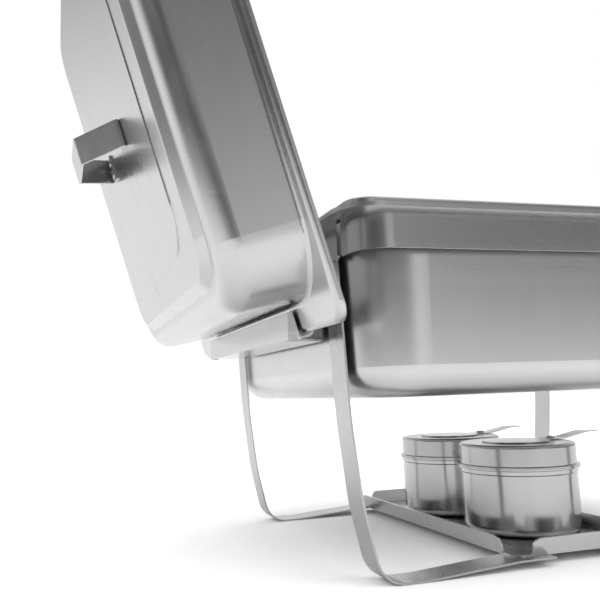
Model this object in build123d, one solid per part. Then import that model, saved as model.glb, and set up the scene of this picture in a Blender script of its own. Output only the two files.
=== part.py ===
from build123d import *
import os
from math import cos, radians, sin

# Buffet chafing dish: a folded-strip stand, a water pan with a food pan in it, two fuel
# burners on a tray, and the lid hung upright on its short edge in the left lid hooks.
# Millimetres, +Z up, +X along the dish, +Y from front to back.
# All shapes are drawn with the dish centred on X = 0, Y = 0 and standing on Z = 0. The
# finished set is then moved along X, so that the origin is the bottom centre of the
# whole set's box, with the hung lid included.

os.makedirs("parts", exist_ok=True)

# ---------------------------------------------------------------- driving dimensions
SHEET = 1.0            # deep-drawn sheet of pans, lid, cups and covers

RIM_LENGTH, RIM_WIDTH, RIM_RADIUS = 376.0, 356.0, 24.0   # water pan flange, plan view
RIM_Z = 230.0          # top of the water pan flange
RIM_LIP = 2.6          # height of the turned-down edge of that flange
WATER_LENGTH, WATER_WIDTH = 342.0, 320.0                 # water pan body at its mouth
WATER_DEPTH = 113.0
WATER_CORNER, WATER_BOTTOM = 44.0, 20.0                  # vertical and bottom radii

FOOD_RIM_LENGTH, FOOD_RIM_WIDTH, FOOD_RIM_RADIUS = 354.0, 325.0, 14.0
FOOD_LIP = 7.5         # height of the food pan's turned-down edge
FOOD_LENGTH, FOOD_WIDTH = 322.0, 294.0
FOOD_DEPTH = 65.0
FOOD_CORNER, FOOD_BOTTOM = 34.0, 14.0
FOOD_EDGE = 1.5        # rounding of its top edge
PAN_DRAFT = 2.0        # degrees

BAND_T, BAND_HEIGHT = 1.5, 24.0                          # flat strip under the rim
BAND_X, BAND_Y = 175.5, 169.5                            # its outer faces
BAND_RADIUS, BAND_END_Y = 20.0, 140.0
BAND_TOP = RIM_Z - SHEET

LEG_T, LEG_WIDTH, LEG_OUTER_Y = 1.4, 22.0, 127.5
LEG_KNEE = (-170.2, 104.0)                               # X and Z of the outer face there
LEG_ANKLE = (-164.6, 50.0)
LEG_TOE_X, FOOT_END_X = -153.0, -124.0                   # where the foot's flat would begin, ends
LEG_END_X = 26.0       # where the strip ends under the tray
LEG_BENDS = [150, 300, 200, 20, 60, 60]                  # radii down the strip
LEG_TAB_Y = -149.0     # end of the tab that reaches behind the side band
LEG_TAB_GAP = 1.5      # from the top of that tab up to the top of the band
LEG_DROP = 2.0         # how far below the band the strip starts to lean out
TRAY_LENGTH, TRAY_WIDTH, TRAY_T = 106.0, 240.0, 1.2
TRAY_BOTTOM = 6.8      # underside of the tray above the table
TRAY_RADIUS = 9.0
FLANGE_RISE, FLANGE_TILT = 12.0, 14.0                    # tray edge height, degrees out
FLANGE_RADIUS, FLANGE_LIFT = 5.9, 0.35                   # corners, foot above the tray's base
FLANGE_LENGTHS = (78.0, 216.0)                           # along the tray's ends, its sides

PLATE_TOP_Y, PLATE_LOW_Y = 133.0, 100.0                  # half widths of the end plate
SHELF_Z, SHELF_T = 156.0, 1.3                            # underside of the shelf below the lid's edge
GRIP_X, GRIP_TOP = 203.6, 173.8                          # outer face and top of the grip
GRIP_HALF, GRIP_T, GRIP_EDGE = 113.5, 1.5, 0.6           # half length, sheet, rounded top edge
HOOK_WIDTH, HOOK_T = 9.0, 1.6
HOOK_LEG, HOOK_LIP = 7.6, -2.9                           # its middle, out from the hem's edge
HOOK_FLOOR, HOOK_RADIUS = -2.4, 3.4
HOOK_HEIGHTS = (16.5, 2.2)                               # tops of its long and short legs

LID_LENGTH, LID_WIDTH, LID_RADIUS = 379.0, 358.0, 12.0   # plan view over the hem
LID_HEM, LID_HEM_ROUND = 5.0, 4.0                        # hem height, rounding of its top
LID_WALL = (340.0, 341.0, 43.0, 4.2)                     # length, width, corner, draft
LID_CROWN = (304.0, 305.0, 34.0, 55.0)
LID_CENTRE = (236.0, 232.0, 30.0, 30.0)
LID_FOOT_ROUND, LID_LEDGE_ROUND, LID_CROWN_ROUND = 3.0, 16.0, 2.2
LID_LEDGE, LID_TOP, LID_PANEL = 57.5, 62.5, 63.2         # heights above the hem's edge
LID_TILT = 15.9        # lean of the hung lid from upright, degrees
LID_EDGE_X, LID_EDGE_Z = -189.5, 161.2                   # where its lowest hem edge stands
HANDLE_U = 177.0       # handle centre, measured up the hung lid from its lowest edge
HANDLE_WIDTH, HANDLE_T, HANDLE_RISE = 20.0, 2.0, 33.0
HANDLE_FOOT_Y, HANDLE_GRIP_Y = 46.0, 22.7
HANDLE_FOOT = 13.0     # length of each turned-in foot
HANDLE_BENDS = [1.4, 2.0, 2.0, 1.4]
RIVET_R, RIVET_PITCH = 2.0, 10.0
RIVET_HEAD, RIVET_HEAD_T, RIVET_TAIL, RIVET_TAIL_T = 3.6, 1.2, 3.4, 1.0

CUP_RADIUS, CUP_HEIGHT, CUP_BOTTOM = 43.5, 51.0, 7.0
CUP_LIP = 45.8
CUP_BEAD, CUP_BEAD_DEPTH = 0.8, 5.2                      # raised ring below the lip
LIP_T, LIP_SLOPE = 1.0, 0.7
COVER_HEIGHT, COVER_HOLE, COVER_ROUND = 17.3, 22.0, 2.6
BURNER_SPACING = 96.0  # between the two burner centres, front to back
BURNER_X = {"front": 8.0, "back": 8.4}
DAMPER_RADIUS, DAMPER_T, DAMPER_WIDTH = 25.5, 1.0, 14.0
DAMPER_REACH, DAMPER_RISE = 76.0, 4.5                    # handle tip, from the burner's centre
DAMPER_BEND_X, DAMPER_TIP = 41.0, 12.0                   # where it starts to rise, flat tip
PIN_X, PIN_R = 33.0, 2.0                                 # damper pin, from that centre
PIN_HEAD, PIN_HEAD_T, PIN_TAIL, PIN_TAIL_T = 3.6, 1.4, 3.4, 1.0
RUNNING = 0.05         # radial clearance of the pin
GAP = 0.2              # between faces that slide over each other

tilt = radians(LID_TILT)
# The hung lid's own frame: local X up along its length, local Z out of its top
LID_PLANE = Plane(origin=(LID_EDGE_X, 0, LID_EDGE_Z), x_dir=(-sin(tilt), 0, cos(tilt)),
                  z_dir=(-cos(tilt), 0, -sin(tilt)))
shapes = {}


# ---------------------------------------------------------------- helpers
def rounded_block(length, width, low, high, radius, taper=0.0):
    """Upright block with rounded corners, drawn in by the taper as it rises."""
    outline = Pos(0, 0, low) * RectangleRounded(length, width, radius)
    return extrude(outline, amount=high - low, taper=taper)


def tub(length, width, depth, corner, bottom, top_z, draft=PAN_DRAFT):
    """Solid tub hanging from top_z, narrowing downwards, with a rounded bottom edge."""
    outline = Pos(0, 0, top_z) * RectangleRounded(length, width, corner)
    body = extrude(outline, amount=-depth, taper=draft)
    return fillet(body.faces().sort_by(Axis.Z)[0].edges(), bottom)


def strap(points, radii, width, thickness, across=(0, 1, 0)):
    """Bent flat strip: a rectangle swept along a line with rounded bends."""
    path = FilletPolyline(*points, radius=radii)
    section = Plane(origin=path @ 0, x_dir=across, z_dir=path % 0)
    return sweep(section * Rectangle(width, thickness), path=path)


def plate(x_low, x_high, y_low, y_high, z_low, z_high):
    """Flat plate between two corners."""
    size = (x_high - x_low, y_high - y_low, z_high - z_low)
    centre = ((x_low + x_high) / 2, (y_low + y_high) / 2, (z_low + z_high) / 2)
    return Pos(*centre) * Box(*size)


def both_sides(shape):
    """A shape and its mirror image across the front-to-back middle plane."""
    return [shape, mirror(shape, about=Plane.XZ)]


# ---------------------------------------------------------------- pans
def water_pan():
    """Deep pan for hot water; its flange rests on the stand's bands."""
    outer = tub(WATER_LENGTH, WATER_WIDTH, WATER_DEPTH, WATER_CORNER, WATER_BOTTOM, RIM_Z)
    inner = tub(WATER_LENGTH - 2 * SHEET, WATER_WIDTH - 2 * SHEET, WATER_DEPTH - SHEET,
                WATER_CORNER - SHEET, WATER_BOTTOM - SHEET, RIM_Z)
    flange = rounded_block(RIM_LENGTH, RIM_WIDTH, BAND_TOP, RIM_Z, RIM_RADIUS)
    lip = rounded_block(RIM_LENGTH, RIM_WIDTH, RIM_Z - RIM_LIP, BAND_TOP, RIM_RADIUS)
    lip -= rounded_block(RIM_LENGTH - 2 * SHEET, RIM_WIDTH - 2 * SHEET, RIM_Z - RIM_LIP,
                         BAND_TOP, RIM_RADIUS - SHEET)
    return outer + flange + lip - inner


def food_pan():
    """Shallower pan for the food; its turned-down edge stands on the water pan flange."""
    top = RIM_Z + FOOD_LIP
    outer = tub(FOOD_LENGTH, FOOD_WIDTH, FOOD_DEPTH, FOOD_CORNER, FOOD_BOTTOM, top)
    inner = tub(FOOD_LENGTH - 2 * SHEET, FOOD_WIDTH - 2 * SHEET, FOOD_DEPTH - SHEET,
                FOOD_CORNER - SHEET, FOOD_BOTTOM - SHEET, top)
    edge = (FOOD_RIM_LENGTH, FOOD_RIM_WIDTH)
    flange = rounded_block(*edge, RIM_Z, top, FOOD_RIM_RADIUS)
    flange = fillet(flange.faces().sort_by(Axis.Z)[-1].edges(), FOOD_EDGE)
    flange -= rounded_block(edge[0] - 2 * SHEET, edge[1] - 2 * SHEET, RIM_Z, top - SHEET,
                            FOOD_RIM_RADIUS - SHEET)
    return outer + flange - inner


# ---------------------------------------------------------------- stand
def side_band(side):
    """Flat strip along one long side, bent round both corners. side is -1 or 1."""
    x, y = BAND_X - BAND_T / 2, side * (BAND_Y - BAND_T / 2)
    z = BAND_TOP - BAND_HEIGHT / 2
    points = [(-x, side * BAND_END_Y, z), (-x, y, z), (x, y, z), (x, side * BAND_END_Y, z)]
    return strap(points, BAND_RADIUS, BAND_HEIGHT, BAND_T, across=(0, 0, 1))


def end_bracket():
    """Left end: plate on the stand, shelf under the lid's edge and upright hand grip."""
    back = BAND_X - BAND_T
    shelf_top = SHELF_Z + SHELF_T
    bracket = plate(-BAND_X, -back, -PLATE_TOP_Y, PLATE_TOP_Y,
                    BAND_TOP - BAND_HEIGHT, BAND_TOP)
    bracket += plate(-BAND_X, -back, -PLATE_LOW_Y, PLATE_LOW_Y,
                     SHELF_Z, BAND_TOP - BAND_HEIGHT)
    bracket += plate(-GRIP_X, -back, -PLATE_LOW_Y, PLATE_LOW_Y, SHELF_Z, shelf_top)
    grip = plate(-GRIP_X, -GRIP_X + GRIP_T, -GRIP_HALF, GRIP_HALF, SHELF_Z, GRIP_TOP)
    top_edges = grip.edges().filter_by(Axis.Y).sort_by(Axis.Z)[-2:]
    bracket += fillet(top_edges, GRIP_EDGE)
    for side in (-1, 1):
        face = side * GRIP_HALF
        corners = [(-GRIP_X, SHELF_Z), (-GRIP_X, GRIP_TOP),
                   (hook_back_x(GRIP_TOP), GRIP_TOP), (hook_back_x(SHELF_Z), SHELF_Z)]
        cheek = Plane(origin=(0, face, 0), z_dir=(0, -side, 0), x_dir=(1, 0, 0))
        outline = [cheek.to_local_coords(Vector(x, face, z)) for x, z in corners]
        flat = make_face(Polyline(*[(p.X, p.Y) for p in outline], close=True))
        bracket += extrude(cheek * flat, amount=GRIP_T)
    return bracket


def hook_back_x(z):
    """X of the outer side of a hook's long leg at height z, which leans as the lid does."""
    out = HOOK_LEG + HOOK_T / 2
    return LID_EDGE_X - (out + (z - LID_EDGE_Z) * sin(tilt)) / cos(tilt)


def lid_hooks():
    """Two J-shaped straps at the grip's ends that cradle the lid's turned-down edge."""
    hook_y, (tall, short) = GRIP_HALF - HOOK_WIDTH / 2, HOOK_HEIGHTS
    line = [(tall, HOOK_LEG), (HOOK_FLOOR, HOOK_LEG), (HOOK_FLOOR, HOOK_LIP),
            (short, HOOK_LIP)]
    points = [LID_PLANE.from_local_coords((u, hook_y, h)) for u, h in line]
    return Compound(both_sides(strap(points, HOOK_RADIUS, HOOK_WIDTH, HOOK_T)))


def leg():
    """Front left leg: one flat strip, upright, bent into a foot and run under the tray."""
    middle = LEG_T / 2
    top_x = -BAND_X + BAND_T + middle
    straight_to = BAND_TOP - BAND_HEIGHT - LEG_DROP
    (knee_x, knee_z), (ankle_x, ankle_z) = LEG_KNEE, LEG_ANKLE
    points = [(top_x, BAND_TOP), (top_x, straight_to), (knee_x + middle, knee_z),
              (ankle_x + middle, ankle_z), (LEG_TOE_X, middle), (FOOT_END_X, middle),
              (-TRAY_LENGTH / 2, TRAY_BOTTOM - middle), (-LEG_END_X, TRAY_BOTTOM - middle)]
    y = -LEG_OUTER_Y + LEG_WIDTH / 2
    strip = strap([(x, y, z) for x, z in points], LEG_BENDS, LEG_WIDTH, LEG_T)
    tab_low, tab_high = straight_to + 2 * LEG_DROP, BAND_TOP - LEG_TAB_GAP
    strip += plate(-BAND_X + BAND_T, -BAND_X + BAND_T + LEG_T, LEG_TAB_Y, -LEG_OUTER_Y + LEG_DROP,
                   tab_low, tab_high)
    return strip


def burner_tray():
    """Shallow tray with four separate upturned edges and open corners."""
    base = rounded_block(TRAY_LENGTH, TRAY_WIDTH, TRAY_BOTTOM, TRAY_BOTTOM + TRAY_T,
                         TRAY_RADIUS)

    def edge(length):
        face = Pos(0, FLANGE_RISE / 2 - 2) * RectangleRounded(length, FLANGE_RISE + 4,
                                                              FLANGE_RADIUS)
        flap = extrude(Plane.XZ * face, amount=TRAY_T / 2, both=True)
        flap &= Pos(0, 0, FLANGE_RISE) * Box(length, 2 * TRAY_T, 2 * FLANGE_RISE)
        return Rot(-FLANGE_TILT, 0, 0) * flap

    lift = TRAY_BOTTOM + FLANGE_LIFT
    ends, sides = FLANGE_LENGTHS
    for turn, reach, length in ((0, TRAY_WIDTH, ends), (90, TRAY_LENGTH, sides)):
        for flip in (0, 180):
            placed = Pos(0, reach / 2 - TRAY_T / 2, lift) * edge(length)
            base += Rot(0, 0, turn + flip) * placed
    return base


# ---------------------------------------------------------------- lid
def lid_envelope(inset):
    """Outside form of the lid, or with an inset of one sheet, the space inside it.

    Drawn as it lies closed: hem edge at height 0, centred in length and width."""
    def block(sizes, low, high):
        length, width, corner, taper = sizes
        return rounded_block(length - 2 * inset, width - 2 * inset, low, high - inset,
                             corner - inset, taper)

    def round_top(form, radius):
        return fillet(form.faces().sort_by(Axis.Z)[-1].edges(), radius - inset)

    hem = block((LID_LENGTH, LID_WIDTH, LID_RADIUS, 0.0), 0, LID_HEM)
    form = round_top(hem, LID_HEM_ROUND)
    form += round_top(block(LID_WALL, LID_HEM - 2, LID_LEDGE), LID_LEDGE_ROUND)
    form = fillet(wall_foot(form, LID_HEM - inset), LID_FOOT_ROUND + inset)
    form += round_top(block(LID_CROWN, LID_LEDGE - 3, LID_TOP), LID_CROWN_ROUND)
    form += block(LID_CENTRE, LID_TOP - 2, LID_PANEL)
    return form


def wall_foot(form, height):
    """Edges at one height where the lid's wall rises from its flange."""
    reach = (LID_WALL[0] + LID_LENGTH) / 4
    return [edge for edge in form.edges()
            if abs(edge.center().Z - height) < 0.01
            and max(abs(edge.center().X), abs(edge.center().Y)) < reach]


def lid_shell():
    """Deep-drawn lid, open below, in its own closed position, moved to the hung one."""
    shell = lid_envelope(0) - lid_envelope(SHEET)
    shell = Pos(LID_LENGTH / 2, 0, 0) * shell
    return shell - handle_holes()


def rivet_places():
    """Rivet centres in lid coordinates: two through each foot of the handle."""
    y = HANDLE_FOOT_Y - HANDLE_T - HANDLE_FOOT / 2
    return [(HANDLE_U + along * RIVET_PITCH / 2, side * y)
            for along in (-1, 1) for side in (-1, 1)]


def handle_holes():
    """Rods where the rivets pass through the foot and the lid."""
    rods = [Pos(u, y, LID_PANEL) * Cylinder(RIVET_R, 12) for u, y in rivet_places()]
    return Compound(rods)


def lid_handle():
    """Trapezoid bridge of bent strip, feet turned inwards, riveted to the lid's top."""
    base = LID_PANEL + HANDLE_T / 2
    crown = LID_PANEL + HANDLE_RISE - HANDLE_T / 2
    foot, grip = HANDLE_FOOT_Y - HANDLE_T / 2, HANDLE_GRIP_Y
    inner = foot - HANDLE_FOOT
    line = [(-inner, base), (-foot, base), (-grip, crown),
            (grip, crown), (foot, base), (inner, base)]
    points = [(HANDLE_U, y, h) for y, h in line]
    bridge = strap(points, HANDLE_BENDS, HANDLE_WIDTH, HANDLE_T, across=(1, 0, 0))
    return bridge - handle_holes()


def lid_handle_rivets():
    """Four rivets, domed on the handle's feet and flat inside the lid."""
    rivets = []
    for u, y in rivet_places():
        low, high = LID_PANEL - SHEET, LID_PANEL + HANDLE_T
        shank = Pos(u, y, (low + high) / 2) * Cylinder(RIVET_R, high - low)
        head = Pos(u, y, high + RIVET_HEAD_T / 2) * Cylinder(RIVET_HEAD, RIVET_HEAD_T)
        head = fillet(head.faces().sort_by(Axis.Z)[-1].edges(), RIVET_HEAD_T - 0.2)
        tail = Pos(u, y, low - RIVET_TAIL_T / 2) * Cylinder(RIVET_TAIL, RIVET_TAIL_T)
        rivets.append(shank + head + tail)
    return Compound(rivets)


# ---------------------------------------------------------------- burners
CUP_Z = TRAY_BOTTOM + TRAY_T
JOINT_Z = CUP_Z + CUP_HEIGHT          # where the cover meets the cup's lip
COVER_TOP = JOINT_Z + GAP + COVER_HEIGHT


def turned(points, arcs):
    """Solid of revolution about Z from an outline; arcs maps a corner to its radius."""
    with BuildSketch(Plane.XZ) as outline:
        with BuildLine():
            Polyline(*points, close=True)
        make_face()
        for (x, z), radius in arcs.items():
            corner = outline.vertices().sort_by_distance((x, z))[0]
            fillet(corner, radius)
    return revolve(outline.sketch, axis=Axis.Z)


def burner_cup():
    """Round fuel cup with a rounded bottom and a rolled lip."""
    r, t, bead = CUP_RADIUS, SHEET, JOINT_Z - CUP_BEAD_DEPTH
    under_lip = JOINT_Z - LIP_T
    points = [(0, CUP_Z), (r, CUP_Z), (r, bead), (r + CUP_BEAD, bead + CUP_BEAD),
              (r + CUP_BEAD, under_lip - LIP_SLOPE), (CUP_LIP, under_lip),
              (CUP_LIP, JOINT_Z), (r - t, JOINT_Z), (r - t, CUP_Z + t), (0, CUP_Z + t)]
    return turned(points, {(r, CUP_Z): CUP_BOTTOM, (r - t, CUP_Z + t): CUP_BOTTOM - t})


def burner_cover():
    """Cover ring of the burner: flared lip, upright wall, flat top with a flame hole."""
    r, t = CUP_RADIUS, SHEET
    low, top = JOINT_Z + GAP, COVER_TOP
    points = [(r - t, low), (CUP_LIP, low), (CUP_LIP, low + LIP_T),
              (r, low + LIP_T + LIP_SLOPE), (r, top), (COVER_HOLE, top),
              (COVER_HOLE, top - t), (r - t, top - t)]
    ring = turned(points, {(r, top): COVER_ROUND, (r - t, top - t): COVER_ROUND - t})
    return ring - Pos(PIN_X, 0, top) * Cylinder(PIN_R, 6)


def burner_damper():
    """Disc that shuts the flame hole, and the handle it turns by, pinned between them."""
    low = COVER_TOP + GAP
    middle = low + DAMPER_T / 2
    disc = Pos(0, 0, middle) * Cylinder(DAMPER_RADIUS, DAMPER_T)
    points = [(DAMPER_RADIUS / 2, 0, middle), (DAMPER_BEND_X, 0, middle),
              (DAMPER_REACH - DAMPER_TIP, 0, middle + DAMPER_RISE),
              (DAMPER_REACH, 0, middle + DAMPER_RISE)]
    handle = strap(points, DAMPER_TIP, DAMPER_WIDTH, DAMPER_T)
    handle = fillet(handle.edges().filter_by(Axis.Z).sort_by(Axis.X)[-2:], DAMPER_WIDTH / 3)
    damper = disc + handle
    return damper - Pos(PIN_X, 0, low) * Cylinder(PIN_R + RUNNING, 6)


def damper_pin():
    """Rivet fixed in the cover, on which the damper turns."""
    low, high = COVER_TOP - SHEET, COVER_TOP + 2 * GAP + DAMPER_T
    pin = Pos(PIN_X, 0, (low + high) / 2) * Cylinder(PIN_R, high - low)
    head = Pos(PIN_X, 0, high + PIN_HEAD_T / 2) * Cylinder(PIN_HEAD, PIN_HEAD_T)
    head = fillet(head.faces().sort_by(Axis.Z)[-1].edges(), PIN_HEAD_T - 0.2)
    tail = Pos(PIN_X, 0, low - PIN_TAIL_T / 2) * Cylinder(PIN_TAIL, PIN_TAIL_T)
    return pin + head + tail


# ---------------------------------------------------------------- assembly
shapes["water_pan"] = water_pan()
shapes["food_pan"] = food_pan()
shapes["side_band_front"] = side_band(-1)
shapes["side_band_back"] = side_band(1)

bracket, hooks, front_left_leg = end_bracket(), lid_hooks(), leg()
shapes["end_bracket_left"] = bracket
shapes["end_bracket_right"] = mirror(bracket, about=Plane.YZ)
shapes["lid_hooks_left"] = hooks
shapes["lid_hooks_right"] = mirror(hooks, about=Plane.YZ)
shapes["leg_front_left"] = front_left_leg
shapes["leg_back_left"] = mirror(front_left_leg, about=Plane.XZ)
shapes["leg_front_right"] = mirror(front_left_leg, about=Plane.YZ)
shapes["leg_back_right"] = mirror(shapes["leg_back_left"], about=Plane.YZ)
shapes["burner_tray"] = burner_tray()

shapes["lid_shell"] = LID_PLANE * lid_shell()
shapes["lid_handle"] = LID_PLANE * lid_handle()
shapes["lid_handle_rivets"] = LID_PLANE * lid_handle_rivets()

for place, side in (("front", -1), ("back", 1)):
    centre = Pos(BURNER_X[place], side * BURNER_SPACING / 2, 0)
    shapes["burner_cup_" + place] = centre * burner_cup()
    shapes["burner_cover_" + place] = centre * burner_cover()
    shapes["burner_damper_" + place] = centre * burner_damper()
    shapes["damper_pin_" + place] = centre * damper_pin()

box = Compound([shape for shape in shapes.values()]).bounding_box()
DISH_X = -(box.min.X + box.max.X) / 2
print(f"dish centre at X = {DISH_X:.3f}")
print(f"set is {box.size.X:.1f} x {box.size.Y:.1f} x {box.size.Z:.1f} mm, "
      f"from Y {box.min.Y:.3f} to {box.max.Y:.3f}, lowest Z {box.min.Z:.4f}")

for node, shape in shapes.items():
    export_step(Pos(DISH_X, 0, 0) * shape, f"parts/{node}.step")
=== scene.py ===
import math

import bpy
from mathutils import Matrix, Vector


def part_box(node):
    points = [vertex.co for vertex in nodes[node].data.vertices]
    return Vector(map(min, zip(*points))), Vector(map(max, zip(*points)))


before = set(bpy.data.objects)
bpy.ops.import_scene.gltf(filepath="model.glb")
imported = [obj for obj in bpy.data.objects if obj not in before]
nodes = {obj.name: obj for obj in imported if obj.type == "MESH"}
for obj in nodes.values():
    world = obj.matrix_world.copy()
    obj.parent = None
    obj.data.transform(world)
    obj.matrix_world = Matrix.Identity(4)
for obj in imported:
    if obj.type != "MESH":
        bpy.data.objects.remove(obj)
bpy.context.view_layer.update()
scene = bpy.context.scene
scene.view_settings.view_transform = "Standard"

pan_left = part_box("water_pan")[0][0]      # left edge of the water pan's flange

# ---------------------------------------------------------------- driving numbers (metres, degrees)

FLOOR_HALF = 6.0
FLOOR_DARK, FLOOR_PALE = 0.86, 0.90
FLOOR_FLECKS = 60.0            # scale of the noise between those two greys
FLOOR_MIRRORED = 0.60          # the floor's grey where the steel mirrors it

WALLS_LOW, WALLS_HIGH = 0.50, 0.75     # brightness of the studio's walls at the horizon, high up
WALLS_TOP = 70                 # elevation from which the upper brightness holds
# Brightness, azimuth range, elevation range, softness of the ends of each range.
# Azimuth 0 is in front and +90 to the right. A later panel covers an earlier one.
STUDIO_PANELS = [
    (1.00, (-181, -112), (-20, 20), 14, 8),      # white backdrop, left half
    (0.26, (-181, -112), (28, 62), 14, 8),       # grey wall over it
    (1.00, (112, 181), (-20, 22), 14, 12),       # white backdrop, right half
    (0.24, (28, 84), (-20, 30), 8, 10),          # grey wall, front right
    (0.06, (-98, -2), (-20, 17), 9, 5),          # dark side by the camera
    (0.19, (-60, 22), (21, 55), 10, 8),          # its upper part
    (0.05, (-52, -24), (17, 60), 7, 8),          # dark flag, upper left
    (0.75, (4, 20), (-8, 13), 6, 5),             # soft panel, front
    (0.80, (-181, 181), (62, 91), 4, 8),         # overhead panel
]
SKY_DIRECTION, SKY_SPREAD, SKY_STRENGTH = (0.22, 0.35, -1.0), 120.0, 4.5

CAMERA_LEFT = 0.15825          # how far left of the water pan the camera stands
CAMERA_Y, CAMERA_Z = -0.52148, 0.12337
CAMERA_YAW, CAMERA_PITCH, CAMERA_ROLL = 15.201, 5.313, -2.133
LENS, SENSOR = 40.58, 36.0     # millimetres
SHIFT_X, SHIFT_Y = 0.10, 0.05
CLIP_NEAR, CLIP_FAR = 0.01, 50.0

MM, TENTH_MM = 0.001, 0.0001
LID_LEAN = math.radians(15.9)  # lean of the hung lid from upright
GRAIN_SCALE = 1400.0
BROAD_GRAIN = 9.0              # the broad grain is this many times wider than the fine one
WAVE_SCALE, SMUDGE_SCALE = 14.0, 26.0
SMUDGE_RANGE = (0.45, 0.80)    # noise values where a smudge starts and is full
GLOSS_RANGE = (0.30, 0.70)     # noise values where the grain is glossiest and dullest
WARMTH = 0.003                 # share by which red is raised and blue lowered
# Scale of the grain along X, Y and Z: it is drawn out where the number is small.
GRAIN_LEVEL, GRAIN_UPRIGHT = (0.02, 0.02, 1.0), (1.0, 1.0, 0.02)
GRAIN_ALONG_X, GRAIN_ALONG_Y = (0.02, 1.0, 1.0), (1.0, 0.02, 1.0)


# ---------------------------------------------------------------- node helpers

class Graph:
    """A short way to wire shader nodes: each call adds one, and all but finish return its output."""

    def __init__(self, tree):
        self.tree = tree
        tree.nodes.clear()

    def add(self, kind, inputs=None, output=0, **settings):
        node = self.tree.nodes.new(kind)
        for key, value in settings.items():
            setattr(node, key, value)
        for key, value in (inputs or {}).items():
            if isinstance(value, bpy.types.NodeSocket):
                self.tree.links.new(value, node.inputs[key])
            else:
                node.inputs[key].default_value = value
        return node.outputs[output]

    def finish(self, kind, shader):
        """Adds an output node of this kind that shows the shader."""
        out = self.tree.nodes.new(kind)
        self.tree.links.new(shader, out.inputs["Surface"])

    def math(self, operation, a, b=0.0):
        return self.add("ShaderNodeMath", {0: a, 1: b}, operation=operation)

    def ramp(self, value, low, high, to_low=0.0, to_high=1.0, smooth=True):
        return self.add("ShaderNodeMapRange", {"Value": value, "From Min": low, "From Max": high,
                                               "To Min": to_low, "To Max": to_high},
                        interpolation_type="SMOOTHSTEP" if smooth else "LINEAR")

    def noise(self, vector, scale, detail, roughness=0.5, distortion=0.0):
        return self.add("ShaderNodeTexNoise", {"Vector": vector, "Scale": scale, "Detail": detail,
                                               "Roughness": roughness, "Distortion": distortion})

    def mix(self, factor, a, b):
        """a where factor is 0, b where it is 1; plain numbers."""
        return self.add("ShaderNodeMix", {0: factor, 2: a, 3: b}, data_type="FLOAT")

    def mix_colour(self, factor, a, b):
        return self.add("ShaderNodeMix", {0: factor, 6: a, 7: b}, output=2, data_type="RGBA")


def grey(value, warmth=0.0):
    return (value * (1 + warmth), value, value * (1 - warmth), 1.0)


# ---------------------------------------------------------------- the studio

def studio_world():
    """White to the camera; to the steel, pale walls with the lighter and darker STUDIO_PANELS."""
    world = bpy.data.worlds.new("studio")
    scene.world = world
    world.use_nodes = True
    g = Graph(world.node_tree)
    direction = g.add("ShaderNodeTexCoord", output="Generated")
    split = g.tree.nodes.new("ShaderNodeSeparateXYZ")
    g.tree.links.new(direction, split.inputs[0])
    x, y, z = split.outputs
    azimuth = g.math("ARCTAN2", x, g.math("MULTIPLY", y, -1.0))
    elevation = g.math("ARCSINE", z)
    rad = math.radians

    def window(value, low, high, edge):
        rise = g.ramp(value, rad(low - edge), rad(low + edge))
        fall = g.ramp(value, rad(high - edge), rad(high + edge), 1.0, 0.0)
        return g.math("MULTIPLY", rise, fall)

    light = g.ramp(elevation, rad(0), rad(WALLS_TOP), WALLS_LOW, WALLS_HIGH)
    for value, az, el, az_edge, el_edge in STUDIO_PANELS:
        mask = g.math("MULTIPLY", window(azimuth, *az, az_edge), window(elevation, *el, el_edge))
        light = g.mix(mask, light, value)
    shade = g.add("ShaderNodeCombineColor", {0: light, 1: light, 2: light})
    seen = g.add("ShaderNodeBackground", {"Color": (1.0, 1.0, 1.0, 1.0), "Strength": 1.0})
    felt = g.add("ShaderNodeBackground", {"Color": shade, "Strength": 1.0})
    camera_ray = g.add("ShaderNodeLightPath", output="Is Camera Ray")
    both = g.add("ShaderNodeMixShader", {0: camera_ray, 1: felt, 2: seen})
    g.finish("ShaderNodeOutputWorld", both)


def sky_light():
    """A wide soft light that falls evenly on the whole floor and isn't mirrored by the steel."""
    lamp = bpy.data.lights.new("sky_light", "SUN")
    lamp.energy = SKY_STRENGTH
    lamp.angle = math.radians(SKY_SPREAD)
    holder = bpy.data.objects.new("sky_light", lamp)
    scene.collection.objects.link(holder)
    holder.rotation_euler = Vector(SKY_DIRECTION).to_track_quat("-Z", "Y").to_euler()
    holder.visible_glossy = False


def studio_floor():
    """A pale floor with faint flecks, which the steel mirrors as a plain darker grey."""
    half = FLOOR_HALF
    corners = [(-half, -half, 0), (half, -half, 0), (half, half, 0), (-half, half, 0)]
    mesh = bpy.data.meshes.new("studio_floor")
    mesh.from_pydata(corners, [], [(0, 1, 2, 3)])
    floor = bpy.data.objects.new("studio_floor", mesh)
    scene.collection.objects.link(floor)
    material = bpy.data.materials.new("studio_floor")
    material.use_nodes = True
    g = Graph(material.node_tree)
    place = g.add("ShaderNodeTexCoord", output="Object")
    fleck = g.noise(place, FLOOR_FLECKS, 4.0)
    colour = g.mix_colour(fleck, grey(FLOOR_DARK), grey(FLOOR_PALE))
    shader = g.add("ShaderNodeBsdfPrincipled", {"Base Color": colour, "Roughness": 0.75,
                                                "Specular IOR Level": 0.15})
    mirrored = g.add("ShaderNodeBsdfDiffuse", {"Color": grey(FLOOR_MIRRORED)})
    glossy_ray = g.add("ShaderNodeLightPath", output="Is Glossy Ray")
    both = g.add("ShaderNodeMixShader", {0: glossy_ray, 1: shader, 2: mirrored})
    g.finish("ShaderNodeOutputMaterial", both)
    mesh.materials.append(material)


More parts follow.
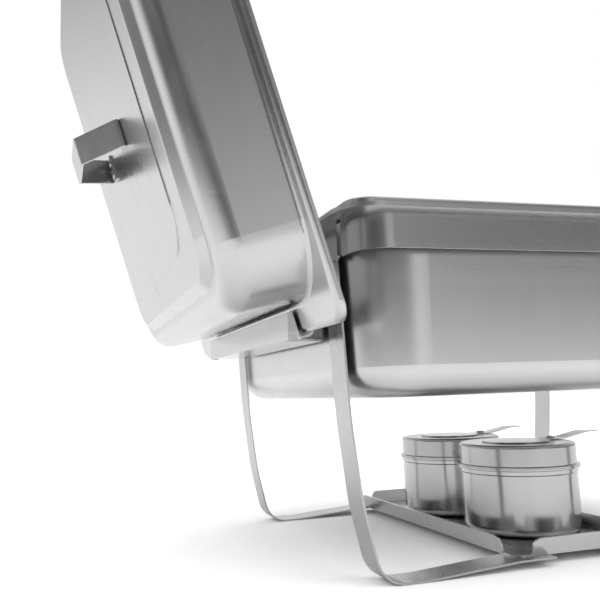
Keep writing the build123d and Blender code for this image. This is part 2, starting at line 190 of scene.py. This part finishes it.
def camera():
    """Just left of the dish and below its rim, looking a little up and to the right."""
    place = Vector((pan_left - CAMERA_LEFT, CAMERA_Y, CAMERA_Z))
    yaw, pitch, roll = map(math.radians, (CAMERA_YAW, CAMERA_PITCH, CAMERA_ROLL))
    forward = Vector((math.sin(yaw) * math.cos(pitch), math.cos(yaw) * math.cos(pitch), math.sin(pitch)))
    right = Vector((math.cos(yaw), -math.sin(yaw), 0.0))
    up = right.cross(forward)
    across = right * math.cos(roll) + up * math.sin(roll)
    upward = up * math.cos(roll) - right * math.sin(roll)
    lens = bpy.data.cameras.new("camera")
    lens.lens, lens.sensor_width = LENS, SENSOR
    lens.shift_x, lens.shift_y = SHIFT_X, SHIFT_Y
    lens.clip_start, lens.clip_end = CLIP_NEAR, CLIP_FAR
    holder = bpy.data.objects.new("camera", lens)
    scene.collection.objects.link(holder)
    pose = Matrix((across, upward, -forward)).transposed().to_4x4()
    pose.translation = place
    holder.matrix_world = pose
    scene.camera = holder


# ---------------------------------------------------------------- steel

def steel(name, colour=0.64, dark=0.58, roughness=(0.22, 0.28), grain=GRAIN_UPRIGHT,
          grain_bump=0.03, wave_bump=0.10, turn=0.0, smudge=0.04):
    """Worked stainless steel: drawn-out grain, rolled waviness and wiped smudges.

    colour and dark are the palest and darkest greys of the grain. grain_bump is its depth in
    tenths of a millimetre, wave_bump that of the waves in millimetres. turn, in radians, tips
    the whole pattern about Y.
    """
    material = bpy.data.materials.new(name)
    material.use_nodes = True
    g = Graph(material.node_tree)
    place = g.add("ShaderNodeTexCoord", output="Object")
    turned = g.add("ShaderNodeMapping", {"Vector": place, "Rotation": (0.0, turn, 0.0)})
    drawn = g.add("ShaderNodeMapping", {"Vector": turned, "Scale": grain})
    fine = g.noise(drawn, GRAIN_SCALE, 2.0, 0.6)
    broad = g.noise(drawn, GRAIN_SCALE / BROAD_GRAIN, 3.0, 0.6)
    wave = g.noise(turned, WAVE_SCALE, 2.0, 0.4)
    wiped = g.noise(turned, SMUDGE_SCALE, 4.0, 0.55, 0.6)
    patch = g.ramp(wiped, *SMUDGE_RANGE)
    # colour: from the dark to the pale grey with the grain, darker under smudges
    tone = g.math("ADD", g.math("MULTIPLY", broad, 0.5), g.math("MULTIPLY", fine, 0.5))
    base = g.mix_colour(tone, grey(dark, WARMTH), grey(colour, WARMTH))
    base = g.mix_colour(g.math("MULTIPLY", patch, smudge * 2.0), base, grey(dark * 0.8, WARMTH))
    # gloss: duller in the paler grain and under smudges
    gloss = g.ramp(broad, *GLOSS_RANGE, *roughness, smooth=False)
    gloss = g.math("ADD", gloss, g.math("MULTIPLY", patch, smudge))
    # relief
    fine_bump = g.add("ShaderNodeBump", {"Strength": 1.0, "Distance": grain_bump * TENTH_MM,
                                         "Height": fine})
    relief = g.add("ShaderNodeBump", {"Strength": 1.0, "Distance": wave_bump * MM, "Height": wave,
                                      "Normal": fine_bump})
    shader = g.add("ShaderNodeBsdfPrincipled", {"Base Color": base, "Metallic": 1.0, "Roughness": gloss,
                                                "Normal": relief})
    g.finish("ShaderNodeOutputMaterial", shader)
    return material


def wear(material, *names):
    for name in names:
        for entry in nodes[name].material_slots:
            entry.material = material


def finishes():
    wear(steel("water_pan_steel", colour=0.67, dark=0.65, roughness=(0.27, 0.29),
               grain=GRAIN_LEVEL, grain_bump=0.003, wave_bump=0.05, smudge=0.03), "water_pan")
    wear(steel("food_pan_steel", roughness=(0.22, 0.28), grain=GRAIN_LEVEL), "food_pan")
    wear(steel("lid_steel", dark=0.61, roughness=(0.24, 0.27), turn=LID_LEAN,
               grain_bump=0.003, wave_bump=0.03), "lid_shell")
    wear(steel("band_steel", colour=0.56, dark=0.52, roughness=(0.25, 0.29),
               grain=GRAIN_LEVEL, grain_bump=0.010),
         "side_band_front", "side_band_back")
    wear(steel("bracket_steel", roughness=(0.20, 0.26), grain=GRAIN_ALONG_Y),
         "end_bracket_left", "end_bracket_right", "lid_hooks_left", "lid_hooks_right")
    # painted shade: the legs get darker greys than the other steel, standing in for the shade that falls on
    # them under the lid and grip
    wear(steel("leg_steel_painted_shade", colour=0.58, dark=0.52, roughness=(0.26, 0.32), grain_bump=0.01),
         "leg_front_left", "leg_back_left", "leg_front_right", "leg_back_right")
    wear(steel("tray_steel", colour=0.80, dark=0.74, roughness=(0.26, 0.32),
               grain=GRAIN_ALONG_Y, grain_bump=0.008),
         "burner_tray")
    wear(steel("handle_steel", roughness=(0.28, 0.32), turn=LID_LEAN, grain=GRAIN_ALONG_Y, grain_bump=0.01,
               wave_bump=0.03, smudge=0.02), "lid_handle", "lid_handle_rivets")
    wear(steel("cup_chrome", colour=0.56, dark=0.50, roughness=(0.16, 0.20), grain_bump=0.01, smudge=0.02),
         "burner_cup_front", "burner_cup_back")
    wear(steel("cover_steel", colour=0.50, dark=0.44, roughness=(0.18, 0.24), grain_bump=0.02, smudge=0.02),
         "burner_cover_front", "burner_cover_back")
    wear(steel("damper_steel", colour=0.60, dark=0.52, roughness=(0.18, 0.26), grain=GRAIN_ALONG_X),
         "burner_damper_front", "burner_damper_back", "damper_pin_front", "damper_pin_back")


studio_world()
studio_floor()
sky_light()
camera()
finishes()
